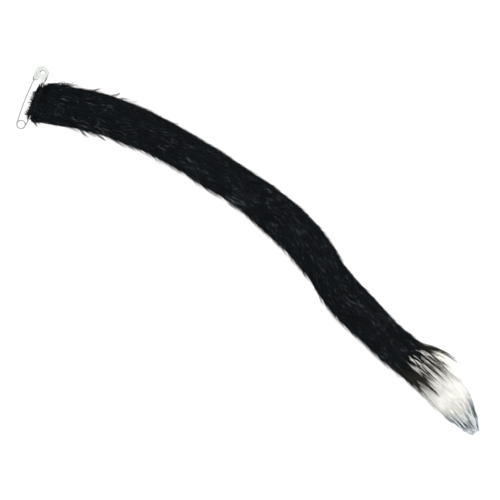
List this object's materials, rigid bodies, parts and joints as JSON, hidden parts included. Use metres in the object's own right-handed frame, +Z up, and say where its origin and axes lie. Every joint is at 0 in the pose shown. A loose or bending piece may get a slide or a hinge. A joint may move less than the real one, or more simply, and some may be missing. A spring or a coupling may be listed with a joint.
{
  "type": "costume animal tail with its safety pin",
  "caption": "Long slim costume tail of black long-pile fur with a white fur tip, lying in a shallow bend, with a closed safety pin through its sewn end.",
  "frame": {"origin": "on the surface that the tail lies on, under the middle of the whole piece's box", "axes": "+X from the safety pin towards the tip, +Y along the pin from its coil to its cap, +Z up"},
  "size_m": [0.4708, 0.1762, 0.029],
  "materials": {
    "black_fur": "long acrylic pile, combed towards the tip, soft sheen",
    "white_fur": "long acrylic pile, cream white with blue-grey ends",
    "pin_wire_nickel": "drawn steel wire, bright nickel plate",
    "pin_cap_nickel": "pressed steel sheet, satin nickel plate"
  },
  "bodies": {
    "root": {"black_fur_sleeve": "black_fur", "white_fur_tip": "white_fur", "pin_wire": "pin_wire_nickel", "pin_cap": "pin_cap_nickel"}
  },
  "joints": []
}
